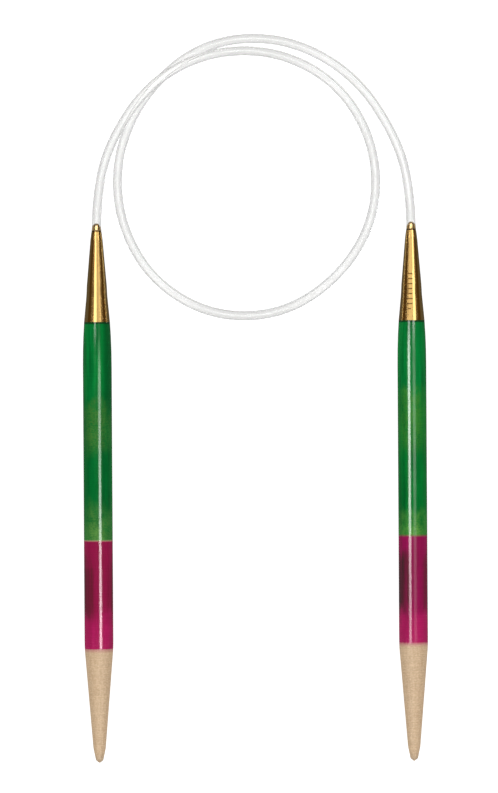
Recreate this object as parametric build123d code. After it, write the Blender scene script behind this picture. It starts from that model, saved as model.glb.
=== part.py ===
from build123d import *
from math import pi, radians, tan
import os

# Circular knitting needle: two wooden needles with brass ferrules, joined by one clear, hollow cord
# that swivels in both ferrules. It lies flat: the needles side by side along Y, tips towards -Y, and
# the cord's loop beyond them. Millimetres, +Z up. The origin is on the resting surface, midway
# between the needles and halfway along them.

# ---- driving dimensions ----
NEEDLE_SIZE = 7.5        # diameter of the full-size part of each needle
NEEDLE_LENGTH = 140.3    # wooden tip to the end of the brass swivel pin
NEEDLE_SPACING = 81.8    # between the two needle axes, as they lie
CORD_OD = 2.4            # clear tube, outside
CORD_BORE = 1.6          # clear tube, inside

# Along a needle, sizes are counted from the swivel pin's rounded end towards the wooden tip.
FERRULE_START = 2.2      # front face of the ferrule: the pin stands this far out of it
FERRULE_END = 25.7       # where the brass meets the wood
SEAM = 0.05              # open gap between the cord's end and the ferrule

# Ferrule: outside, a steeper nose, a long cone, a short waist and a shorter cone down to the wood.
FERRULE_LIP_D = 2.64
FERRULE_NOSE_END = 4.4
FERRULE_NOSE_END_D = 3.2
FERRULE_WAIST_START = 16.3
FERRULE_WAIST_START_D = 5.22
FERRULE_WAIST_END = 18.8
FERRULE_WAIST_END_D = 5.45
FERRULE_BLEND = 12.0     # radius that rounds off each change of slope
FERRULE_BASE_D = 6.75

# Ferrule: inside, a bearing bore, a chamber for the pin's head and a socket for the wood.
CHAMBER_START = 14.4
CHAMBER_END = 16.0
CHAMBER_D = 3.4
SOCKET_D = 4.4

# Size mark on the right ferrule: short engraved strokes, one for each whole millimetre of the needle's
# size and a half-length one for the half millimetre.
STROKE_WIDTH = 0.34
STROKE_PITCH = 1.3
STROKE_LENGTH = 1.5
STROKE_DEPTH = 0.12
FIRST_STROKE = 13.6
STROKE_TURN = 12.0       # degrees from the top of the ferrule, towards the other needle

# Swivel pin: a shank with a flat head, held in the ferrule like a rivet that can turn. Outside the
# ferrule it narrows to a rounded nose, which the cord is pushed over.
PIN_D = 1.8
PIN_NOSE_START = 2.0     # where the narrowing begins
PIN_NOSE_D = 1.5         # at the end, before rounding
PIN_NOSE_ROUND = 0.7
PIN_HEAD_D = 3.1
PIN_HEAD_THICKNESS = 1.2
PIN_HEAD_PLAY = 0.1      # along the needle, when the cord is pulled
BEARING_CLEARANCE = 0.04  # radial, between the pin's shank and the ferrule's bore

# Wooden shaft: a gentle shoulder up to the full size, then a long tapered point with a blunt end.
FULL_SIZE_START = 36.9
TAPER_START = 110.2
TAPER_BLEND = 45.0
POINT_START = 136.5      # where the long taper turns into the rounded point
POINT_START_D = 3.2
POINT_BLEND = 6.0
POINT_END_D = 1.9
POINT_END = 139.6
POINT_ROUND = 0.75

# Cord end: pushed over the pin and flared by it.
CUFF_D = 2.6
CUFF_STRAIGHT = 0.3      # length of the full-diameter part, next to the ferrule
CUFF_TAPER_END = 0.6     # where the flare has run out into the plain tube

# Route of the cord's centre line. It leaves the left needle, turns once round the loop over its own
# other end, and comes back to the right needle. Heights: needle axis at both ends, floor in between,
# one diameter up where it passes over itself.
AXIS_X = NEEDLE_SPACING / 2
AXIS_Z = NEEDLE_SIZE / 2
FLOOR_Z = CORD_OD / 2
CORD_END_Y = NEEDLE_LENGTH / 2 - FERRULE_START + SEAM
ROUTE = [
    (-AXIS_X, CORD_END_Y, AXIS_Z),
    (-AXIS_X, 75.6, AXIS_Z),
    (-38.1, 89.8, AXIS_Z),
    (-27.5, 106.3, AXIS_Z),
    (-11.1, 115.0, 3.6),
    (7.5, 114.7, 2.6),
    (23.3, 105.5, 1.4),
    (31.9, 89.4, FLOOR_Z),
    (31.8, 71.4, FLOOR_Z),
    (22.6, 56.1, FLOOR_Z),
    (7.3, 46.1, FLOOR_Z),
    (-11.0, 45.8, FLOOR_Z),
    (-26.8, 55.3, FLOOR_Z),
    (-35.4, 71.4, FLOOR_Z),
    (-35.5, 89.4, FLOOR_Z),
    (-27.2, 105.9, FLOOR_Z),
    (-11.7, 117.7, FLOOR_Z),
    (8.4, 118.6, FLOOR_Z),
    (26.5, 108.8, 1.6),
    (37.9, 91.0, 3.2),
    (AXIS_X, 76.3, AXIS_Z),
    (AXIS_X, CORD_END_Y, AXIS_Z),
]
ARC_SHARE = 0.45         # share of the shorter run that each corner's arc takes up


def station(distance):
    """Y of a place on the needle, given its distance from the pin's rounded end."""
    return NEEDLE_LENGTH / 2 - distance


def turned(outline):
    """Solid turned about the Y axis from half of its outline, drawn as radius against Y."""
    return revolve(make_face(outline), Axis.Y)


def ring(diameter, start, end):
    """Plain cylinder on the needle's axis between two distances from the pin's rounded end."""
    radius = diameter / 2
    return turned(Polyline((0, station(start)), (radius, station(start)), (radius, station(end)),
                           (0, station(end)), close=True))


def needle_shaft():
    """Wood: the tenon in the ferrule, the shoulder, the full-size part and the tapered point."""
    tenon = SOCKET_D / 2
    full = NEEDLE_SIZE / 2
    base = (FERRULE_BASE_D / 2, station(FERRULE_END))
    shoulder_top = (full, station(FULL_SIZE_START))
    back = Polyline((0, station(CHAMBER_END)), (tenon, station(CHAMBER_END)),
                    (tenon, station(FERRULE_END)), base)
    shoulder = TangentArc(shoulder_top, base, tangent=(0, 1))
    side = FilletPolyline(shoulder_top, (full, station(TAPER_START)),
                          (POINT_START_D / 2, station(POINT_START)),
                          (POINT_END_D / 2, station(POINT_END)), (0, station(NEEDLE_LENGTH)),
                          radius=[TAPER_BLEND, POINT_BLEND, POINT_ROUND])
    axis = Line(side @ 1, (0, station(CHAMBER_END)))
    return turned(back + shoulder + side + axis)


def ferrule():
    """Brass: tapered sleeve over the wood's tenon, with a bearing bore for the swivel pin."""
    face = station(FERRULE_START)
    base = station(FERRULE_END)
    outside = FilletPolyline((FERRULE_LIP_D / 2, face),
                             (FERRULE_NOSE_END_D / 2, station(FERRULE_NOSE_END)),
                             (FERRULE_WAIST_START_D / 2, station(FERRULE_WAIST_START)),
                             (FERRULE_WAIST_END_D / 2, station(FERRULE_WAIST_END)),
                             (FERRULE_BASE_D / 2, base), radius=FERRULE_BLEND)
    closing = Polyline((FERRULE_BASE_D / 2, base), (0, base), (0, face), (FERRULE_LIP_D / 2, face))
    bearing = ring(PIN_D + 2 * BEARING_CLEARANCE, FERRULE_START, CHAMBER_START)
    chamber = ring(CHAMBER_D, CHAMBER_START, CHAMBER_END)
    socket = ring(SOCKET_D, CHAMBER_END, FERRULE_END)
    return turned(outside + closing) - bearing - chamber - socket


def surface_radius(distance):
    """Outer radius of the ferrule's long cone at a distance from the pin's rounded end."""
    share = (distance - FERRULE_NOSE_END) / (FERRULE_WAIST_START - FERRULE_NOSE_END)
    return (FERRULE_NOSE_END_D + share * (FERRULE_WAIST_START_D - FERRULE_NOSE_END_D)) / 2


def size_mark():
    """Cutters for the engraved strokes, placed on a ferrule whose axis is the Y axis."""
    strokes = []
    whole = int(NEEDLE_SIZE)
    for i in range(whole + 1):
        distance = FIRST_STROKE + i * STROKE_PITCH
        length = STROKE_LENGTH if i < whole else STROKE_LENGTH / 2
        depth_at = surface_radius(min(distance, FERRULE_WAIST_START))
        cutter = Box(length, STROKE_WIDTH, STROKE_DEPTH * 2)
        strokes.append(Pos(0, station(distance), depth_at) * cutter)
    return Rot(0, -STROKE_TURN, 0) * Compound(strokes)


def swivel_pin():
    """Brass: nose inside the cord, shank in the ferrule's bore, head in its chamber."""
    head_start = CHAMBER_START + PIN_HEAD_PLAY
    shank = PIN_D / 2
    nose = FilletPolyline((shank, station(PIN_NOSE_START)), (PIN_NOSE_D / 2, station(0)),
                          (0, station(0)), radius=PIN_NOSE_ROUND)
    inside = Polyline((0, station(0)), (0, station(head_start)), (shank, station(head_start)),
                      (shank, station(PIN_NOSE_START)))
    return turned(nose + inside) + ring(PIN_HEAD_D, head_start, head_start + PIN_HEAD_THICKNESS)


def cord():
    """Clear hollow tube along the route, flared over a swivel pin at each end."""
    points = [Vector(*point) for point in ROUTE]
    runs = [b - a for a, b in zip(points, points[1:])]
    radii = []
    for before, after in zip(runs, runs[1:]):
        half_turn = radians(before.get_angle(after)) / 2
        radii.append(ARC_SHARE * min(before.length, after.length) / tan(half_turn))
    path = FilletPolyline(*points, radius=radii)
    section = Circle(CORD_OD / 2) - Circle(CORD_BORE / 2)
    tube = sweep(Plane(origin=points[0], z_dir=runs[0]) * section, path=path)
    area = pi * (CORD_OD ** 2 - CORD_BORE ** 2) / 4
    print("cord arc radii, mm:", [round(radius, 1) for radius in radii])
    print("cord length %.1f mm, volume %.1f mm3, section x length %.1f mm3"
          % (path.length, tube.volume, area * path.length))
    for side in (-1, 1):
        place = Pos(side * AXIS_X, 0, AXIS_Z)
        tube = tube + place * cord_cuff() - place * swivel_pin()
    return tube


def cord_cuff():
    """Extra thickness of the cord's flared end, round the plain tube."""
    outer = CUFF_D / 2
    plain = CORD_OD / 2
    inside = CORD_BORE / 2
    end = station(FERRULE_START - SEAM)
    return turned(Polyline((inside, end), (outer, end), (outer, end + CUFF_STRAIGHT),
                           (plain, station(CUFF_TAPER_END)), (inside, station(CUFF_TAPER_END)),
                           close=True))


def build():
    os.makedirs("parts", exist_ok=True)
    for name, side in (("left", -1), ("right", 1)):
        place = Pos(side * AXIS_X, 0, AXIS_Z)
        sleeve = ferrule()
        if name == "right":
            sleeve -= size_mark()
        export_step(place * needle_shaft(), f"parts/{name}_needle_shaft.step")
        export_step(place * sleeve, f"parts/{name}_ferrule.step")
        export_step(place * swivel_pin(), f"parts/{name}_swivel_pin.step")
    export_step(cord(), "parts/cord.step")


build()
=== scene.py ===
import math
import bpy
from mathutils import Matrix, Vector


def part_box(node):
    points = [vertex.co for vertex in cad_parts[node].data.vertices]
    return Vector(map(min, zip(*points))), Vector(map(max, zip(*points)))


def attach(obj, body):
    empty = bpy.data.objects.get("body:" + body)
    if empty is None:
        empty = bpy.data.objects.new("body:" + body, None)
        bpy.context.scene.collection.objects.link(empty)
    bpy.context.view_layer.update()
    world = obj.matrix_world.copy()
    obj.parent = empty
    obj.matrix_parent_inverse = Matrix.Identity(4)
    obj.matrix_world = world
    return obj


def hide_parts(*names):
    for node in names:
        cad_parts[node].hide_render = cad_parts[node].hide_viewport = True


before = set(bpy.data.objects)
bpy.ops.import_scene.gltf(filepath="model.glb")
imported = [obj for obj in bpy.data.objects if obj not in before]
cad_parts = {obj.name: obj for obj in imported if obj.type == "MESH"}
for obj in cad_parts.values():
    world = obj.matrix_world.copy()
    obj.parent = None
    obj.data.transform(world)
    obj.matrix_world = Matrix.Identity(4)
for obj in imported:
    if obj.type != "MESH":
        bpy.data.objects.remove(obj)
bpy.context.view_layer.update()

# Looks of a circular knitting needle: two lacquered wooden needles with brass ferrules, joined by one
# clear hollow cord. Metres, in the row's frame; material patterns work in millimetres.

from types import SimpleNamespace

import bpy
from mathutils import Matrix, Quaternion, Vector

MM = 0.001
SIDES = ("left", "right")


def axis_of(side):
    """Point on a needle's axis at its ferrule's front face."""
    low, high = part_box(side + "_ferrule")
    return Vector(((low.x + high.x) / 2, high.y, (low.z + high.z) / 2))


# ---------------------------------------------------------------- camera
LENS = 200.0             # mm: seen straight from above and from far, with hardly any perspective
SENSOR = 36.0            # mm, along the picture's long side
VIEW_LENGTH = 0.2062     # metres of the needles' plane along the picture's long side
VIEW_CENTRE = (-0.0015, 0.0249)
VIEW_ROLL = -0.35        # degrees
VIEW_HEIGHT = VIEW_LENGTH * LENS / SENSOR    # of the camera above the needles' axes


def make_camera():
    data = bpy.data.cameras.new("camera")
    data.lens = LENS
    data.sensor_width = SENSOR
    camera = bpy.data.objects.new("camera", data)
    bpy.context.collection.objects.link(camera)
    camera.location = (*VIEW_CENTRE, axis_of("left").z + VIEW_HEIGHT)
    camera.rotation_euler = (0, 0, math.radians(VIEW_ROLL))
    data.clip_start, data.clip_end = 0.01, 10
    bpy.context.scene.camera = camera


# ---------------------------------------------------------------- cord
CORD_D = 0.0024
CORD_BORE = 0.0016
CUFF_D = 0.0026
CUFF_STRAIGHT = 0.0003   # full-diameter part of the flared end
CUFF_LENGTH = 0.00145    # where the flare has run out into the plain tube
NOSE_D = 0.0018          # swivel pin's nose, at the cord's end
NOSE_TAPER = 0.15        # loss of its diameter for each unit of length, into the cord
GRIP = 0.00001           # how far the bore sits inside the nose: the cord is stretched over it
CORD_ROUTE = [
    (-0.0409, 0.0680, 0.00375),
    (-0.0409, 0.0756, 0.00375),
    (-0.0381, 0.0898, 0.00375),
    (-0.0275, 0.1063, 0.00375),
    (-0.0111, 0.1150, 0.0036),
    (0.0075, 0.1147, 0.0026),
    (0.0233, 0.1055, 0.0014),
    (0.0319, 0.0894, 0.0012),
    (0.0318, 0.0714, 0.0012),
    (0.0226, 0.0561, 0.0012),
    (0.0073, 0.0461, 0.0012),
    (-0.0110, 0.0458, 0.0012),
    (-0.0268, 0.0553, 0.0012),
    (-0.0354, 0.0714, 0.0012),
    (-0.0355, 0.0894, 0.0012),
    (-0.0272, 0.1059, 0.0012),
    (-0.0117, 0.1177, 0.0012),
    (0.0084, 0.1186, 0.0012),
    (0.0265, 0.1088, 0.0016),
    (0.0379, 0.0910, 0.0032),
    (0.0409, 0.0763, 0.00375),
    (0.0409, 0.0680, 0.00375),
]
STEPS_PER_POINT = 32     # points of the smooth line for each route point
SIDES_OUTSIDE = 32
SIDES_INSIDE = SIDES_OUTSIDE * 3 // 4


def smooth_line(route):
    """Points of the smooth centre line that the route's control points give."""
    curve = bpy.data.curves.new("cord_line", "CURVE")
    curve.dimensions = "3D"
    curve.resolution_u = STEPS_PER_POINT
    spline = curve.splines.new("NURBS")
    spline.points.add(len(route) - 1)
    for point, place in zip(spline.points, route):
        point.co = (*place, 1)
    spline.order_u = 3
    spline.use_endpoint_u = True
    holder = bpy.data.objects.new("cord_line", curve)
    bpy.context.collection.objects.link(holder)
    bpy.context.view_layer.update()
    mesh = bpy.data.meshes.new_from_object(holder)
    points = [vertex.co.copy() for vertex in mesh.vertices]
    bpy.data.objects.remove(holder)
    bpy.data.meshes.remove(mesh)
    return points


def distances(points):
    """How far along the line each point lies."""
    along = [0.0]
    for a, b in zip(points, points[1:]):
        along.append(along[-1] + (b - a).length)
    return along


def ease(share):
    """Smooth step from 0 to 1."""
    share = min(max(share, 0.0), 1.0)
    return share * share * (3 - 2 * share)


def outer_radius(from_end):
    """Of the tube's outside, flared at its ends."""
    flare = 1 - ease((from_end - CUFF_STRAIGHT) / (CUFF_LENGTH - CUFF_STRAIGHT))
    return (CORD_D + (CUFF_D - CORD_D) * flare) / 2


def inner_radius(from_end):
    """Of the tube's bore, stretched over the pin's nose for as long as the nose is the wider one."""
    nose = (NOSE_D - NOSE_TAPER * from_end) / 2
    return max(nose - GRIP, CORD_BORE / 2)


def tube_mesh(name, points):
    """Closed hollow tube along the points: outside wall, bore and the two ring-shaped ends."""
    along = distances(points)
    length = along[-1]
    count = len(points)
    sideways = Vector((0, 0, 1))
    vertices, faces, rows = [], [], {"outside": [], "bore": []}
    for i, point in enumerate(points):
        ahead = (points[min(i + 1, count - 1)] - points[max(i - 1, 0)]).normalized()
        sideways = (sideways - ahead * sideways.dot(ahead)).normalized()
        from_end = min(along[i], length - along[i])
        walls = (("outside", outer_radius(from_end), SIDES_OUTSIDE),
                 ("bore", inner_radius(from_end), SIDES_INSIDE))
        for wall, radius, sides in walls:
            rows[wall].append(len(vertices))
            for k in range(sides):
                turn = Quaternion(ahead, 2 * math.pi * k / sides)
                vertices.append(point + radius * (turn @ sideways))
    for wall, sides in (("outside", SIDES_OUTSIDE), ("bore", SIDES_INSIDE)):
        for a, b in zip(rows[wall], rows[wall][1:]):
            for k in range(sides):
                quad = (a + k, a + (k + 1) % sides, b + (k + 1) % sides, b + k)
                faces.append(quad if wall == "outside" else quad[::-1])
    for end in (0, -1):
        outside, bore = rows["outside"][end], rows["bore"][end]
        ring = ring_faces(outside, bore)
        faces += ring if end == 0 else [face[::-1] for face in ring]
    mesh = bpy.data.meshes.new(name)
    mesh.from_pydata(vertices, [], faces)
    mesh.validate()
    for polygon in mesh.polygons:
        polygon.use_smooth = True
    return mesh


def ring_faces(outside, bore):
    """Faces of an end, between a row of vertices outside and one of the bore: 4 sides face 3."""
    faces = []
    for block in range(SIDES_OUTSIDE // 4):
        o = [outside + (block * 4 + k) % SIDES_OUTSIDE for k in range(5)]
        b = [bore + (block * 3 + k) % SIDES_INSIDE for k in range(4)]
        faces += [(o[0], b[0], b[1], o[1]), (o[1], b[1], o[2]), (o[2], b[1], b[2]),
                  (o[2], b[2], o[3]), (o[3], b[2], b[3], o[4])]
    return faces


def make_cord():
    points = smooth_line(CORD_ROUTE)
    mesh = tube_mesh("clear_cord", points)
    cord = bpy.data.objects.new("clear_cord", mesh)
    bpy.context.collection.objects.link(cord)
    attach(cord, "cord")
    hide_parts("cord")
    cord.visible_shadow = False    # clear: the light passes
    return cord


# ---------------------------------------------------------------- material building blocks
def in_use(sockets):
    """A mix node has sockets for every kind of value: those of its own kind."""
    return [socket for socket in sockets if socket.enabled]


class Nodes:
    """Short-hand for building one material's node tree."""

    def __init__(self, name):
        self.material = bpy.data.materials.new(name)
        self.material.use_nodes = True
        self.tree = self.material.node_tree
        self.tree.nodes.clear()
        output = self.tree.nodes.new("ShaderNodeOutputMaterial")
        self.shader = self.tree.nodes.new("ShaderNodeBsdfPrincipled")
        self.tree.links.new(self.shader.outputs[0], output.inputs["Surface"])

    def put(self, socket, value):
        """Links a socket to another one, or sets it to a constant."""
        if isinstance(value, bpy.types.NodeSocket):
            self.tree.links.new(value, socket)
        elif isinstance(value, tuple) and socket.type == "RGBA" and len(value) == 3:
            socket.default_value = (*value, 1)
        else:
            socket.default_value = value

    def set(self, **values):
        """Values or links for inputs of the shader, with _ for each blank in their names."""
        for name, value in values.items():
            self.put(self.shader.inputs[name.replace("_", " ")], value)

    def math(self, operation, a, b=0.0, c=0.0):
        node = self.tree.nodes.new("ShaderNodeMath")
        node.operation = operation
        for socket, value in zip(node.inputs, (a, b, c)):
            self.put(socket, value)
        return node.outputs[0]

    def product(self, *values):
        """Constants and links multiplied with each other. The first is a link."""
        share = values[0]
        for value in values[1:]:
            share = self.math("MULTIPLY", share, value)
        return share

    def away(self, value, middle):
        """How far a value is from the middle, either way."""
        return self.math("ABSOLUTE", self.math("SUBTRACT", value, middle))

    def place(self, origin):
        """Position in millimetres from a point of the row's frame, as the sockets x, y, z and vector."""
        coordinates = self.tree.nodes.new("ShaderNodeTexCoord")
        mapping = self.tree.nodes.new("ShaderNodeMapping")
        mapping.inputs["Location"].default_value = [-value / MM for value in origin]
        mapping.inputs["Scale"].default_value = (1 / MM,) * 3
        self.tree.links.new(coordinates.outputs["Object"], mapping.inputs["Vector"])
        split = self.tree.nodes.new("ShaderNodeSeparateXYZ")
        self.tree.links.new(mapping.outputs[0], split.inputs[0])
        return (*split.outputs, mapping.outputs[0])

    def noise(self, vector, size, detail, roughness, shift):
        """Noise from 0 to 1 with features of about size mm along each axis."""
        mapping = self.tree.nodes.new("ShaderNodeMapping")
        mapping.inputs["Scale"].default_value = [1 / value for value in size]
        mapping.inputs["Location"].default_value = (shift, shift * 1.7, -shift)
        self.tree.links.new(vector, mapping.inputs["Vector"])
        node = self.tree.nodes.new("ShaderNodeTexNoise")
        self.tree.links.new(mapping.outputs[0], node.inputs["Vector"])
        node.inputs["Scale"].default_value = 1
        node.inputs["Detail"].default_value = detail
        node.inputs["Roughness"].default_value = roughness
        return node.outputs["Fac"]

    def between(self, value, low, high, to_low=0.0, to_high=1.0):
        """Smooth step: to_low where value is low or less, to_high where it is high or more."""
        node = self.tree.nodes.new("ShaderNodeMapRange")
        node.interpolation_type = "SMOOTHSTEP"
        for name, item in (("Value", value), ("From Min", low), ("From Max", high),
                           ("To Min", to_low), ("To Max", to_high)):
            self.put(node.inputs[name], item)
        return node.outputs[0]

    def mix(self, share, a, b, blend="MIX"):
        """a where share is 0, b where it is 1. Both are colours, or both are shares."""
        node = self.tree.nodes.new("ShaderNodeMix")
        node.data_type = "RGBA"
        node.blend_type = blend
        for socket, value in zip(in_use(node.inputs), (share, a, b)):
            self.put(socket, value)
        return in_use(node.outputs)[0]

    def bump(self, height, distance, strength):
        """height: noise from 0 to 1. distance: what 1 stands for, in metres."""
        node = self.tree.nodes.new("ShaderNodeBump")
        node.inputs["Strength"].default_value = strength
        node.inputs["Distance"].default_value = distance
        self.put(node.inputs["Height"], height)
        return node.outputs[0]


# ---------------------------------------------------------------- wood
GREEN_FRESH = (0.0012, 0.305, 0.054)
GREEN_DARK = (0.0005, 0.090, 0.020)
MAGENTA_DARK = (0.16, 0.014, 0.034)
MAGENTA_PALE = (0.50, 0.016, 0.135)
MAROON = (0.065, 0.024, 0.032)
PINK = (0.50, 0.065, 0.18)
BARE = (0.80, 0.62, 0.42)
BARE_DARK = (0.57, 0.39, 0.235)
TIP_GREY = (0.42, 0.33, 0.24)
GLUE_LINE = (0.006, 0.035, 0.012)    # dark dye and glue along the brass

# Places are in mm from the ferrule's front face towards the tip.
GLUE_LINE_AT = 23.6
TIP_GREY_AT = (135.0, 138.0)

# The dye's bands. faded, pale: stretches of the green where the wood shows through, and fading: how far
# it does in the first. softness: of the joints between bands, in mm. line: how far bare wood shows
# between green and magenta. maroon: share of maroon on the magenta's left. shade: how much painted shade
# darkens the green on its right, near the ferrule. seed: of the grain.
BANDS = {
    "left": {"green_end": 80.25, "magenta_end": 108.4, "faded": (45.5, 56.0), "pale": (70.0, 79.0),
             "fading": 0.85, "softness": 0.15, "line": 0.3, "maroon": 0.35, "shade": 0.85, "seed": 3.0,
             "green": (0.0008, 0.200, 0.036), "faded_green": (0.070, 0.225, 0.040),
             "pale_green": (0.105, 0.295, 0.062), "magenta": (0.38, 0.009, 0.088)},
    "right": {"green_end": 79.35, "magenta_end": 107.3, "faded": (42.0, 56.0), "pale": (73.0, 78.0),
              "fading": 0.7, "softness": 0.45, "line": 0.0, "maroon": 1.0, "shade": 0.1, "seed": 11.0,
              "green": (0.0008, 0.245, 0.036), "faded_green": (0.065, 0.290, 0.036),
              "pale_green": (0.120, 0.370, 0.062), "magenta": (0.37, 0.007, 0.112)},
}


def wood_grain(n, side):
    """What dyes and bare wood share: the place on the needle, and noises of given sizes in mm."""
    x, y, _, vector = n.place(axis_of(side))
    seed = BANDS[side]["seed"]
    grain = SimpleNamespace(x=x, along=n.math("MULTIPLY", y, -1.0))
    grain.fibre = n.noise(vector, (0.22, 9.0, 0.22), detail=5, roughness=0.65, shift=seed)
    grain.streak = n.noise(vector, (0.9, 40.0, 0.9), detail=3, roughness=0.6, shift=seed + 5)
    grain.fleck = n.noise(vector, (0.6, 0.3, 0.6), detail=3, roughness=0.7, shift=seed + 9)
    grain.cloud = n.noise(vector, (2.5, 4.0, 2.5), detail=3, roughness=0.6, shift=seed + 13)
    grain.turning = n.noise(vector, (30.0, 0.22, 30.0), detail=2, roughness=0.5, shift=seed + 17)
    grain.drift = n.noise(vector, (2.4, 18.0, 2.4), detail=2, roughness=0.5, shift=seed + 21)
    grain.mottle = n.mix(0.4, grain.fleck, grain.cloud)
    # place along the needle for dye that ends in an uneven cloud
    grain.ragged = n.math("MULTIPLY_ADD", n.math("SUBTRACT", grain.cloud, 0.5), 9.0, grain.along)
    # how thick the dye is
    grain.depth = n.math("ADD", n.between(n.mix(0.6, grain.fibre, grain.streak), 0.25, 0.75, 0.5, 0.0),
                         n.between(grain.drift, 0.3, 0.7, 0.45, 0.0))
    return grain


def green_dye(n, grain, bands):
    """Green, darker where the dye is thicker and with painted shade on its right near the ferrule, mottled
    where it has faded.
    """
    # Painted shade: darker green on the needle's right side, full up to 42 mm from the ferrule and gone by
    # 60 mm.
    shade = n.product(n.between(grain.x, 0.2, 2.6), n.between(grain.along, 42.0, 60.0, bands["shade"], 0.0))
    fresh = n.mix(n.between(grain.ragged, 38.0, 50.0), GREEN_FRESH, bands["green"])
    green = n.mix(n.math("MAXIMUM", grain.depth, shade), fresh, GREEN_DARK)
    on_top = n.between(n.away(grain.x, -0.3), 0.8, 3.2, 1.0, 0.45)
    low, high = bands["faded"]
    faded = n.product(n.between(grain.ragged, low - 2.0, low + 2.0),
                      n.between(grain.ragged, high - 2.5, high + 3.5, bands["fading"], 0.0),
                      n.between(grain.mottle, 0.35, 0.6, 0.15, 1.0), on_top)
    low, high = bands["pale"]
    pale = n.product(n.between(grain.ragged, low - 2.0, high),
                     n.between(grain.mottle, 0.35, 0.6, 0.25, 1.0), on_top)
    green = n.mix(faded, green, bands["faded_green"])
    return n.mix(pale, green, bands["pale_green"])


def magenta_dye(n, grain, bands):
    """Magenta, with maroon where the dye has soaked in, darkened toward the needle's sides as painted
    shade, and paler and pink at its end.
    """
    end = bands["magenta_end"]
    middle = (bands["green_end"] + end) / 2 - 1
    soaked = n.product(n.between(n.away(grain.ragged, middle), 4.0, 12.0, 1.0, 0.0),
                       n.between(grain.streak, 0.3, 0.6, 0.5, 1.0))
    # Painted shade: the dark magenta and the maroon grow stronger toward the needle's sides, the maroon
    # more on its left; the patches themselves are the dye's.
    beside = n.between(n.away(grain.x, 0.8), 0.8, 3.0)
    soaked_and_side_shade = n.product(soaked, n.between(beside, 0.0, 1.0, 0.35, 1.0))
    magenta = n.mix(n.math("MAXIMUM", soaked_and_side_shade, n.product(grain.depth, 0.6)), bands["magenta"], MAGENTA_DARK)
    on_left = n.between(grain.x, -2.8, -0.8, bands["maroon"], bands["maroon"] * 0.25)
    magenta = n.mix(n.product(soaked, beside, on_left), magenta, MAROON)
    paling = n.product(n.between(grain.ragged, end - 12.0, end - 4.0),
                       n.between(grain.depth, 0.2, 0.9, 0.9, 0.5))
    magenta = n.mix(paling, magenta, MAGENTA_PALE)
    pink = n.product(n.between(grain.ragged, end - 6.0, end + 2.0),
                     n.between(grain.fleck, 0.45, 0.7, 0.0, 0.5))
    return n.mix(pink, magenta, PINK)


def bare_wood(n, grain, bands):
    """Bare wood, stained a little just below the dye and at the very tip."""
    end = bands["magenta_end"]
    bare = n.mix(n.between(n.mix(0.6, grain.fibre, grain.fleck), 0.3, 0.7), BARE_DARK, BARE)
    bare = n.mix(n.between(grain.along, end, end + 1.2, 0.5, 0.0), bare, PINK)
    return n.mix(n.between(grain.along, *TIP_GREY_AT, 0.0, 0.45), bare, TIP_GREY)


def wood_material(side):
    """Green, magenta and bare bands. The dyed ones are lacquered smooth."""
    bands = BANDS[side]
    n = Nodes("lacquered_wood_" + side)
    grain = wood_grain(n, side)
    soft = bands["softness"]
    edge = n.math("MULTIPLY_ADD", n.math("SUBTRACT", grain.fibre, 0.5), 1.2 * soft + 0.15, grain.along)
    past_green, past_magenta = (n.between(edge, bands[end] - soft, bands[end] + soft)
                                for end in ("green_end", "magenta_end"))
    dyed = n.mix(past_green, green_dye(n, grain, bands), magenta_dye(n, grain, bands))
    colour = n.mix(past_magenta, dyed, bare_wood(n, grain, bands))
    line = n.between(n.away(edge, bands["green_end"]), 0.0, 0.35, bands["line"], 0.0)
    colour = n.mix(line, colour, BARE)
    glue = n.between(n.away(grain.along, GLUE_LINE_AT), 0.3, 0.55, 0.85, 0.0)
    colour = n.mix(glue, colour, GLUE_LINE)
    in_grooves = n.mix(1.0, colour, (0.55, 0.55, 0.55), "MULTIPLY")
    colour = n.mix(n.between(grain.turning, 0.35, 0.65, 0.0, 0.24), colour, in_grooves)
    rough = n.mix(past_magenta, n.between(grain.cloud, 0.2, 0.8, 0.13, 0.17),
                  n.between(grain.fleck, 0.2, 0.8, 0.5, 0.68))
    relief = n.product(n.mix(0.5, grain.fibre, grain.fleck), n.between(past_magenta, 0.0, 1.0, 0.012, 1.0))
    n.set(Base_Color=colour, Roughness=rough, IOR=1.3, Normal=n.bump(relief, 0.00004, strength=0.35))
    return n.material


# ---------------------------------------------------------------- brass
BRASS = (0.84, 0.55, 0.20)
BRASS_AGED = (0.45, 0.25, 0.07)
PIN_DULL = (0.34, 0.22, 0.09)        # under the cord the brass has lost its shine
# Painted shadow: a dark ring on the pin where it comes out of the ferrule.
PAINTED_SEAM_SHADOW = (0.014, 0.007, 0.003)    # on the pin, where it comes out of the ferrule
SEAM_AT = 0.09                       # mm from the ferrule's front face towards the cord

# Size mark on the right ferrule: a row of engraved strokes across the needle, the last one half as long.
MARK_FILL = (0.30, 0.16, 0.045)
MARK_TURN = 12.0         # degrees from the top of the ferrule, towards the other needle
MARK_START = 11.4        # mm from the ferrule's front face to the first stroke
MARK_PITCH = 1.3
MARK_STROKES = 8
MARK_LENGTH = 1.5
MARK_WIDTH = 0.34


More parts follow.
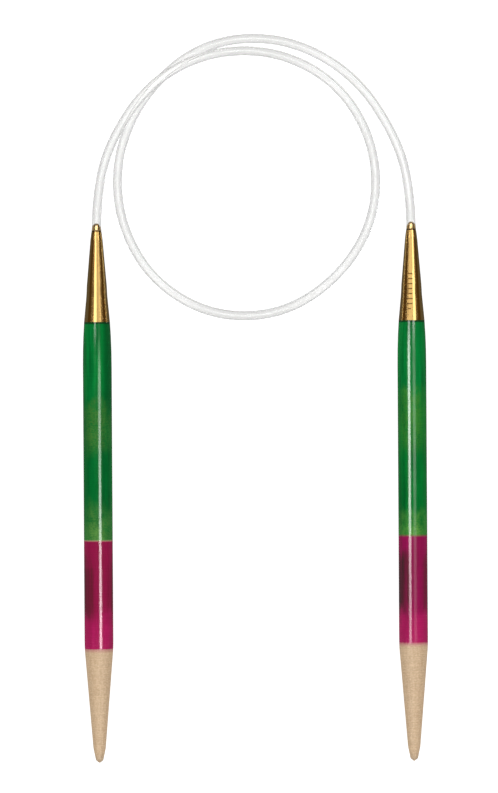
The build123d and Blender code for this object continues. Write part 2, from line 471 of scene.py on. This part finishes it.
def size_mark(n, x, along, z):
    """Where the engraved strokes are, as a share from 0 to 1."""
    turn = math.radians(MARK_TURN)
    across = n.math("ABSOLUTE", n.math("ADD", n.math("MULTIPLY", x, math.cos(turn)),
                                       n.math("MULTIPLY", z, math.sin(turn))))
    count = n.math("MULTIPLY_ADD", along, 1 / MARK_PITCH, -MARK_START / MARK_PITCH)
    last = MARK_STROKES - 1
    half = n.between(count, last - 0.6, last - 0.4, MARK_LENGTH / 2, MARK_LENGTH / 4)
    inside = n.between(n.math("SUBTRACT", across, half), -0.03, 0.03, 1.0, 0.0)
    near = n.math("MULTIPLY", n.math("PINGPONG", count, 0.5), MARK_PITCH)
    stroke = n.between(near, MARK_WIDTH / 2 - 0.03, MARK_WIDTH / 2 + 0.03, 1.0, 0.0)
    row = n.product(n.between(count, -0.5, -0.4), n.between(count, last + 0.4, last + 0.5, 1.0, 0.0))
    on_top = n.between(z, 0.0, 0.5)
    return n.product(inside, stroke, row, on_top)


def brass_material(side, piece):
    """Brass with the fine rings of the lathe, a little tarnished. piece: ferrule or pin."""
    n = Nodes("turned_brass_%s_%s" % (side, piece))
    x, y, z, vector = n.place(axis_of(side))
    rings = n.noise(vector, (60.0, 0.12, 60.0), detail=4, roughness=0.7, shift=2)
    tarnish = n.noise(vector, (1.6, 4.0, 1.6), detail=4, roughness=0.6, shift=7)
    spots = n.noise(vector, (0.35, 0.35, 0.35), detail=3, roughness=0.6, shift=19)
    aged = n.product(n.between(tarnish, 0.5, 0.8), n.between(spots, 0.3, 0.7, 0.4, 1.0), 0.4)
    colour = n.mix(aged, BRASS, BRASS_AGED)
    colour = n.mix(n.between(rings, 0.3, 0.7, 0.0, 0.15), colour, BRASS_AGED)
    polish = n.between(n.mix(0.5, rings, tarnish), 0.25, 0.75, 0.15, 0.21)
    if piece == "pin":
        # Painted shadow of the gap between the ferrule and the cord's end: a dark, rougher ring on the pin.
        seam = n.between(n.away(y, SEAM_AT), 0.16, 0.42, 1.0, 0.0)
        colour = n.mix(seam, n.mix(0.9, colour, PIN_DULL), PAINTED_SEAM_SHADOW)
        polish = n.math("MULTIPLY_ADD", seam, 0.4, polish)
    else:
        n.set(Normal=n.bump(rings, 0.00001, strength=0.3))
    if (side, piece) == ("right", "ferrule"):
        mark = size_mark(n, x, n.math("MULTIPLY", y, -1.0), z)
        colour = n.mix(mark, colour, MARK_FILL)
    n.set(Base_Color=colour, Roughness=polish, Metallic=1.0, Anisotropic=0.7, Anisotropic_Rotation=0.25)
    axial = n.tree.nodes.new("ShaderNodeTangent")
    axial.direction_type = "RADIAL"
    axial.axis = "Y"
    n.set(Tangent=axial.outputs[0])
    return n.material


# ---------------------------------------------------------------- clear cord
CLEAR = (0.985, 0.986, 0.98)
# Painted shadow: a dark band at the cord's cut ends, next to the ferrules.
PAINTED_END_SHADOW = (0.10, 0.06, 0.03)        # on the cord's cut ends, next to the ferrules


def cord_material():
    """Clear plastic with a soft surface: its shine is a rough coat, over a clear body without any."""
    n = Nodes("clear_cord")
    x, y, _, vector = n.place((0, 0, 0))
    haze = n.noise(vector, (6.0, 6.0, 6.0), detail=3, roughness=0.5, shift=4)
    # Painted shadow where each cut end meets its ferrule's front face.
    end_x, end_y = abs(CORD_ROUTE[0][0]) / MM, CORD_ROUTE[0][1] / MM
    beside_needle = n.away(n.math("ABSOLUTE", x), end_x)
    end = n.product(n.between(n.away(y, end_y), 0.12, 0.28, 1.0, 0.0),
                    n.math("LESS_THAN", beside_needle, CORD_D / MM))
    n.set(Base_Color=n.mix(end, CLEAR, PAINTED_END_SHADOW), IOR=1.36, Transmission_Weight=1.0,
          Roughness=n.between(haze, 0.2, 0.8, 0.08, 0.12), Specular_Tint=(0.0, 0.0, 0.0))
    n.set(Coat_Weight=1.0, Coat_IOR=1.3, Coat_Roughness=0.22)
    return n.material


# ---------------------------------------------------------------- light
LAMP_HEIGHT = 0.6        # of every lamp; over a needle, it counts from the needle's axis

# Strip lamps that show as stripes in the lacquer. Each is a row of panels, so that its stripe changes
# along the needle. Side, angle from straight up and width in degrees as the needle sees the lamp,
# brightness of the stripe on the shoulder, and on each equal stretch from there to the bare point.
STRIPES = [
    ("left", 17.0, 18.0, 0.0,
     (0.035, 0.045, 0.07, 0.14, 0.19, 0.24, 0.30, 0.42, 0.55, 0.58, 0.6, 0.6)),
    ("left", -16.0, 16.0, 0.32, ()),
    ("right", -25.0, 18.0, 0.2,
     (0.62, 0.62, 0.62, 0.62, 0.62, 0.62, 0.62, 0.62, 0.6, 0.4, 0.28, 0.28)),
    ("right", 14.0, 22.0, 0.32,
     (0.07, 0.07, 0.07, 0.07, 0.08, 0.14, 0.17, 0.12, 0.04, 0.05, 0.04, 0.04)),
]
SHOULDER = (0.135, 0.080)            # reach in y of the panel that only the shoulder reflects
STRETCH = (0.078, -0.0445)           # y of the row's ends on the needle
POINT = -0.118                       # end of one more panel, which the start of the taper reflects
LACQUER_SHINE = 0.017                # share of a lamp's light that the lacquer reflects

# Boxes that the brass shows as bands: piece, from angle, to angle, radiance.
BRASS_BANDS = [
    ("left_ferrule", -27.0, 0.0, 2.1),
    ("left_ferrule", 0.0, 38.0, 0.75),
    ("left_swivel_pin", -44.0, 32.0, 5.0),
    ("right_ferrule", -44.0, -28.0, 0.4),
    ("right_ferrule", -28.0, 11.0, 0.95),
    ("right_ferrule", 11.0, 36.0, 2.1),
    ("right_swivel_pin", -36.0, 40.0, 5.0),
]
FERRULE_REACH = (-0.02, 0.40)        # reach in y of the ferrules' boxes
PIN_REACH = (0.15, 0.26)             # and of the pins', short so that the cord mirrors little of them

CORD_BOX_Y = 0.11                    # box over the cord, for the bright line along it
CORD_BOX_SIZE = (0.20, 0.42)
CORD_BOX_RADIANCE = 1.6

FILL_PLACE = (0.55, 0.65)            # x and y of the four soft boxes that light everything
FILL_AIM = 0.9                       # how much of the way to y = 0 they are aimed
FILL_SIZE = (0.5, 0.5)
FILL_RADIANCE = 5.7

ROOM = (0.075, 0.0465, 0.0135)       # dark and warm, as the brass mirrors it
ROOM_THROUGH_CORD = (0.10, 0.10, 0.09)


def area_light(name, place, toward, size, radiance, only=None, through_cord=False):
    """Rectangular lamp whose long side lies along the needles. only: a collection that mirrors it."""
    data = bpy.data.lights.new(name, "AREA")
    data.shape = "RECTANGLE"
    data.size, data.size_y = size
    data.energy = radiance * math.pi * size[0] * size[1]
    light = bpy.data.objects.new(name, data)
    bpy.context.collection.objects.link(light)
    light.location = place
    back = -Vector(toward).normalized()
    across = Vector((0, 1, 0)).cross(back).normalized()
    light.rotation_mode = "QUATERNION"
    light.rotation_quaternion = Matrix((across, back.cross(across), back)).transposed().to_quaternion()
    light.visible_camera = False
    light.visible_transmission = through_cord
    if only is not None:
        light.visible_diffuse = False
        light.light_linking.receiver_collection = only


def group(name, pieces):
    """Collection of objects that a lamp can be limited to."""
    collection = bpy.data.collections.new(name)
    for piece in pieces:
        collection.objects.link(piece)
    return collection


def lamp_over(name, side, angles, reach, radiance, only, through_cord=False):
    """Lamp that a needle sees between two angles from straight up, over a reach of y."""
    axis = axis_of(side)
    low, high = (LAMP_HEIGHT * math.tan(math.radians(angle)) for angle in angles)
    middle = math.radians(sum(angles) / 2)
    place = Vector((axis.x + (low + high) / 2, sum(reach) / 2, axis.z + LAMP_HEIGHT))
    toward = (-math.sin(middle), 0, -math.cos(middle))
    width = (high - low) * math.cos(middle)
    size = (width, abs(reach[1] - reach[0]))
    area_light(name, place, toward, size, radiance, only, through_cord)


def mirrored(y):
    """Where a lamp over the needles has to be for the camera to see it reflected at y."""
    return y + (y - VIEW_CENTRE[1]) * LAMP_HEIGHT / VIEW_HEIGHT


def make_stripes():
    lacquered = {side: group("lacquer_" + side, [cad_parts[side + "_needle_shaft"]]) for side in SIDES}
    for side, angle, width, on_shoulder, panels in STRIPES:
        stops = [STRETCH[0] + (STRETCH[1] - STRETCH[0]) * k / max(len(panels), 1)
                 for k in range(len(panels) + 1)]
        reaches = [SHOULDER, *zip(stops, stops[1:]), (stops[-1], POINT)]
        for reach, shine in zip(reaches, (on_shoulder, *panels, *panels[-1:])):
            if shine:
                lamp_over("stripe", side, (angle - width / 2, angle + width / 2),
                          [mirrored(y) for y in reach], shine / LACQUER_SHINE, lacquered[side])


def make_brass_bands(cord):
    """The boxes over the pins reach them through the cord, so they light it too."""
    for i, (piece, start, end, radiance) in enumerate(BRASS_BANDS):
        name = "brass_%d" % i
        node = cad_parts[piece]
        side = piece.split("_")[0]
        if piece.endswith("pin"):
            lamp_over(name, side, (start, end), PIN_REACH, radiance, group(name, [node, cord]),
                      through_cord=True)
        else:
            lamp_over(name, side, (start, end), FERRULE_REACH, radiance, group(name, [node]))


def make_room():
    """Dark surroundings, which look a little lighter through the cord."""
    world = bpy.data.worlds.new("studio")
    world.use_nodes = True
    tree = world.node_tree
    path = tree.nodes.new("ShaderNodeLightPath")
    room = tree.nodes.new("ShaderNodeMix")
    room.data_type = "RGBA"
    through_cord, colour, cord_colour = in_use(room.inputs)
    tree.links.new(path.outputs["Is Transmission Ray"], through_cord)
    colour.default_value = (*ROOM, 1)
    cord_colour.default_value = (*ROOM_THROUGH_CORD, 1)
    tree.links.new(in_use(room.outputs)[0], tree.nodes["Background"].inputs["Color"])
    bpy.context.scene.world = world


def make_light(cord):
    make_room()
    make_stripes()
    make_brass_bands(cord)
    area_light("cord_box", (0, CORD_BOX_Y, LAMP_HEIGHT), (0, 0, -1), CORD_BOX_SIZE, CORD_BOX_RADIANCE,
               group("clear", [cord]))
    for x in (-FILL_PLACE[0], FILL_PLACE[0]):
        for y in (-FILL_PLACE[1], FILL_PLACE[1]):
            area_light("fill", (x, y, LAMP_HEIGHT), (-x, -y * FILL_AIM, -LAMP_HEIGHT),
                       FILL_SIZE, FILL_RADIANCE)


# ---------------------------------------------------------------- floor
FLOOR_SIZE = 6
FLOOR_GAP = 0.00002      # between the floor and the cord, which lies on it
FLOOR_GREY = (0.25, 0.25, 0.25)
BLACK = (0.0, 0.0, 0.0)

# What the floor gives off, whatever light falls on it.
GLOW = 0.12              # to every ray
GLOW_TO_CAMERA = 0.85    # added for the camera
GLOW_TO_PIECES = 0.22    # added where it lights the pieces softly
GLOW_IN_CORD = 0.64      # added behind the clear cord
GLOW_STRAIGHT = 0.05     # and added there for rays that nothing has mirrored


def make_floor():
    """Pale floor: white to the camera, greyer through the cord, dark where the pieces mirror it."""
    bpy.ops.mesh.primitive_plane_add(size=FLOOR_SIZE, location=(0, 0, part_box("cord")[0].z - FLOOR_GAP))
    floor = bpy.context.object
    floor.name = "floor"
    n = Nodes("pale_floor")
    path = n.tree.nodes.new("ShaderNodeLightPath").outputs
    in_cord = path["Is Transmission Ray"]
    unlit = n.math("MAXIMUM", in_cord, path["Is Glossy Ray"])
    unmirrored = n.math("LESS_THAN", path["Glossy Depth"], 0.5)
    glow = n.math("MULTIPLY_ADD", path["Is Camera Ray"], GLOW_TO_CAMERA, GLOW)
    glow = n.math("MULTIPLY_ADD", in_cord, n.math("MULTIPLY_ADD", unmirrored, GLOW_STRAIGHT, GLOW_IN_CORD),
                  glow)
    glow = n.math("MULTIPLY_ADD", path["Is Diffuse Ray"], GLOW_TO_PIECES, glow)
    n.set(Base_Color=n.mix(unlit, FLOOR_GREY, BLACK), Roughness=0.9, Specular_IOR_Level=0.0,
          Emission_Color=(1.0, 1.0, 1.0), Emission_Strength=glow)
    floor.data.materials.append(n.material)


def paint(node, material):
    """Gives a CAD node one material."""
    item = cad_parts[node]
    item.data.materials.clear()
    item.data.materials.append(material)


make_camera()
cord = make_cord()
cord.data.materials.append(cord_material())
for side in SIDES:
    paint(side + "_needle_shaft", wood_material(side))
    paint(side + "_ferrule", brass_material(side, "ferrule"))
    paint(side + "_swivel_pin", brass_material(side, "pin"))
make_light(cord)
make_floor()
bpy.context.scene.view_settings.view_transform = "Standard"
